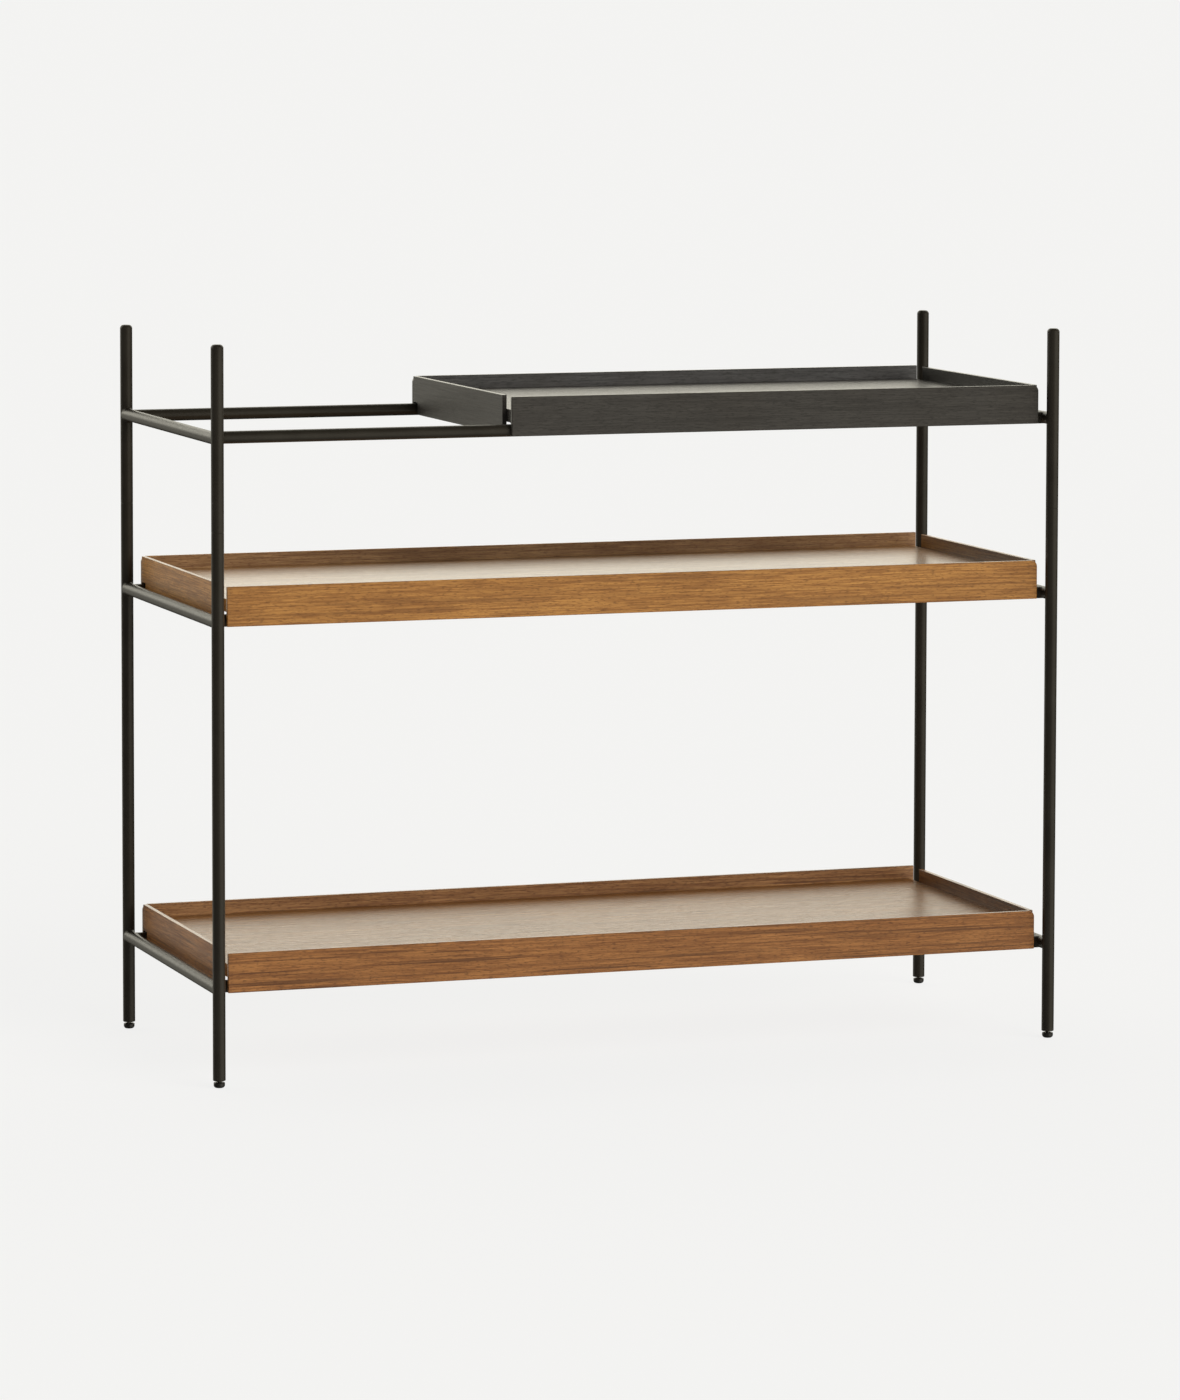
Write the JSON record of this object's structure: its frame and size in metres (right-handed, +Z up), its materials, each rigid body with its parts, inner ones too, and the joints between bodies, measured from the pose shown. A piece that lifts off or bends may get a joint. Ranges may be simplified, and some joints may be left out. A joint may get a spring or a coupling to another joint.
{
  "type": "tray shelf",
  "caption": "Open free-standing shelf of slender round rods carrying long lipped wooden trays, with a shorter sliding tray on its top rails and levelling glides under the posts.",
  "frame": {"origin": "on the floor at the centre of the footprint, between the four glides", "axes": "+X to the right along the long rails, +Y to the back, +Z up"},
  "size_m": [1, 0.4, 0.815],
  "materials": {
    "frame_coat": "satin warm black powder coat",
    "zinc_steel": "dull zinc plate",
    "walnut_lower": "semi-gloss lacquered walnut veneer, reddish",
    "walnut_middle": "semi-gloss lacquered walnut veneer, golden",
    "stained_top": "semi-gloss lacquered wood veneer, stained warm black",
    "rest_strip": "matt non-slip strip",
    "glide": "matt moulded black"
  },
  "bodies": {
    "frame": {"lower_post_fl": "frame_coat", "lower_post_fr": "frame_coat", "lower_post_bl": "frame_coat", "lower_post_br": "frame_coat", "upper_post_fl": "frame_coat", "upper_post_fr": "frame_coat", "upper_post_bl": "frame_coat", "upper_post_br": "frame_coat", "post_cap_fl": "frame_coat", "post_cap_fr": "frame_coat", "post_cap_bl": "frame_coat", "post_cap_br": "frame_coat", "post_studs": "zinc_steel", "lower_bushes": "zinc_steel", "upper_bushes": "zinc_steel", "foot_inserts": "zinc_steel", "low_rail_left": "frame_coat", "low_rail_right": "frame_coat", "low_rail_front": "frame_coat", "low_rail_back": "frame_coat", "mid_rail_left": "frame_coat", "mid_rail_right": "frame_coat", "mid_rail_front": "frame_coat", "mid_rail_back": "frame_coat", "top_rail_left": "frame_coat", "top_rail_right": "frame_coat", "top_rail_front": "frame_coat", "top_rail_back": "frame_coat"},
    "lower_tray": {"lower_tray_panel": "walnut_lower", "lower_tray_front_lip": "walnut_lower", "lower_tray_back_lip": "walnut_lower", "lower_tray_left_lip": "walnut_lower", "lower_tray_right_lip": "walnut_lower", "lower_tray_front_strip": "rest_strip", "lower_tray_back_strip": "rest_strip"},
    "middle_tray": {"middle_tray_panel": "walnut_middle", "middle_tray_front_lip": "walnut_middle", "middle_tray_back_lip": "walnut_middle", "middle_tray_left_lip": "walnut_middle", "middle_tray_right_lip": "walnut_middle", "middle_tray_front_strip": "rest_strip", "middle_tray_back_strip": "rest_strip"},
    "top_tray": {"top_tray_panel": "stained_top", "top_tray_front_lip": "stained_top", "top_tray_back_lip": "stained_top", "top_tray_left_lip": "stained_top", "top_tray_right_lip": "stained_top", "top_tray_front_strip": "rest_strip", "top_tray_back_strip": "rest_strip"},
    "foot_fl": {"foot_stud_fl": "zinc_steel", "foot_glide_fl": "glide"},
    "foot_fr": {"foot_stud_fr": "zinc_steel", "foot_glide_fr": "glide"},
    "foot_bl": {"foot_stud_bl": "zinc_steel", "foot_glide_bl": "glide"},
    "foot_br": {"foot_stud_br": "zinc_steel", "foot_glide_br": "glide"}
  },
  "joints": [
    {"name": "lower_tray_lift", "type": "slide", "parent": "frame", "child": "lower_tray", "axis": [0, 0, 1], "range_m": [0, 0.35]},
    {"name": "middle_tray_lift", "type": "slide", "parent": "frame", "child": "middle_tray", "axis": [0, 0, 1], "range_m": [0, 0.15]},
    {"name": "top_tray_slide", "type": "slide", "parent": "frame", "child": "top_tray", "axis": [1, 0, 0], "range_m": [-0.326, 0]},
    {"name": "foot_fl_level", "type": "slide", "parent": "frame", "child": "foot_fl", "axis": [0, 0, -1], "range_m": [-0.0015, 0.01]},
    {"name": "foot_fr_level", "type": "slide", "parent": "frame", "child": "foot_fr", "axis": [0, 0, -1], "range_m": [-0.0015, 0.01]},
    {"name": "foot_bl_level", "type": "slide", "parent": "frame", "child": "foot_bl", "axis": [0, 0, -1], "range_m": [-0.0015, 0.01]},
    {"name": "foot_br_level", "type": "slide", "parent": "frame", "child": "foot_br", "axis": [0, 0, -1], "range_m": [-0.0015, 0.01]}
  ]
}
